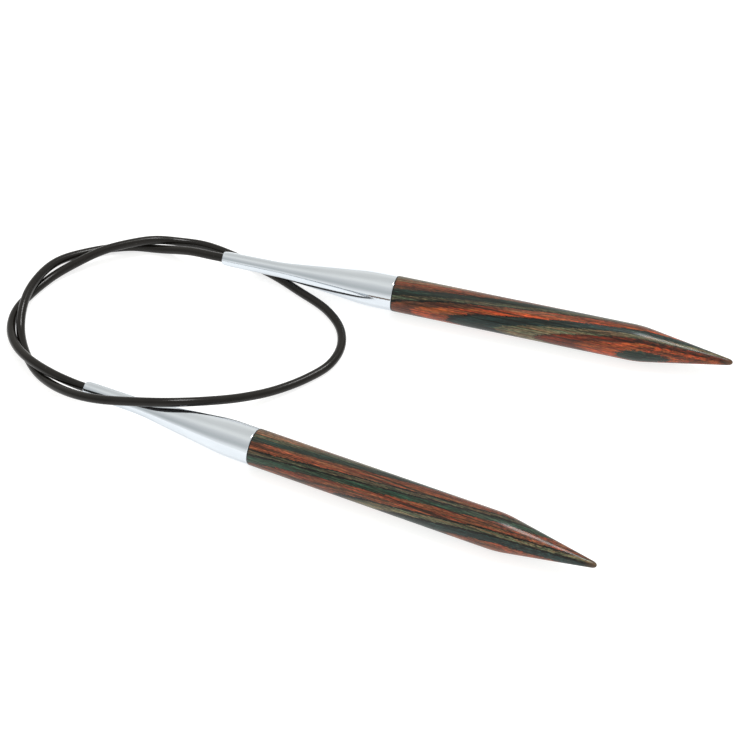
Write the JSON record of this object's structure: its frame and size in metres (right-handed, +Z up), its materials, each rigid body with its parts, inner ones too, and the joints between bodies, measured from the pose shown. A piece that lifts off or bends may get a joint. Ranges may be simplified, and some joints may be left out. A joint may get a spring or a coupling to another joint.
{
  "type": "circular knitting needle",
  "caption": "Circular knitting needle: laminated wooden points in plated tapered ferrules, each turning on the end of a flexible nylon cord.",
  "frame": {"origin": "middle of the box around the two needles, on the surface that they lie on", "axes": "+X from the ferrules towards the pointed ends, +Y towards the back needle, +Z up"},
  "size_m": [0.1772, 0.1045, 0.0099],
  "materials": {
    "cord": "satin black nylon",
    "stop_collar": "turned brass",
    "ferrule_plating": "polished nickel plating",
    "front_laminated_wood": "lacquered dyed birch laminate, mostly rust with green and brown layers",
    "back_laminated_wood": "lacquered dyed birch laminate, rust, dark green and olive layers"
  },
  "bodies": {
    "cord": {"cord": "cord"},
    "front_cord_end": {"front_cord_end": "cord", "front_stop_collar": "stop_collar"},
    "front_needle": {"front_ferrule": "ferrule_plating", "front_point": "front_laminated_wood"},
    "back_cord_end": {"back_cord_end": "cord", "back_stop_collar": "stop_collar"},
    "back_needle": {"back_ferrule": "ferrule_plating", "back_point": "back_laminated_wood"}
  },
  "joints": [
    {"name": "front_cord_bend", "type": "hinge", "parent": "cord", "child": "front_cord_end", "pos_m": [-0.07933, 0.0049, 0.00448], "axis": [0, 0, 1], "range_deg": [-20, 0]},
    {"name": "front_needle_turn", "type": "hinge", "parent": "front_cord_end", "child": "front_needle", "pos_m": [-0.0775, 0.0041, 0.00448], "axis": [0.9157, -0.4019, 0], "continuous": true},
    {"name": "back_cord_bend", "type": "hinge", "parent": "cord", "child": "back_cord_end", "pos_m": [-0.04843, 0.04744, 0.00448], "axis": [0, 0, 1], "range_deg": [0, 40]},
    {"name": "back_needle_turn", "type": "hinge", "parent": "back_cord_end", "child": "back_needle", "pos_m": [-0.0465, 0.0469, 0.00448], "axis": [0.9627, -0.2706, 0], "continuous": true}
  ]
}
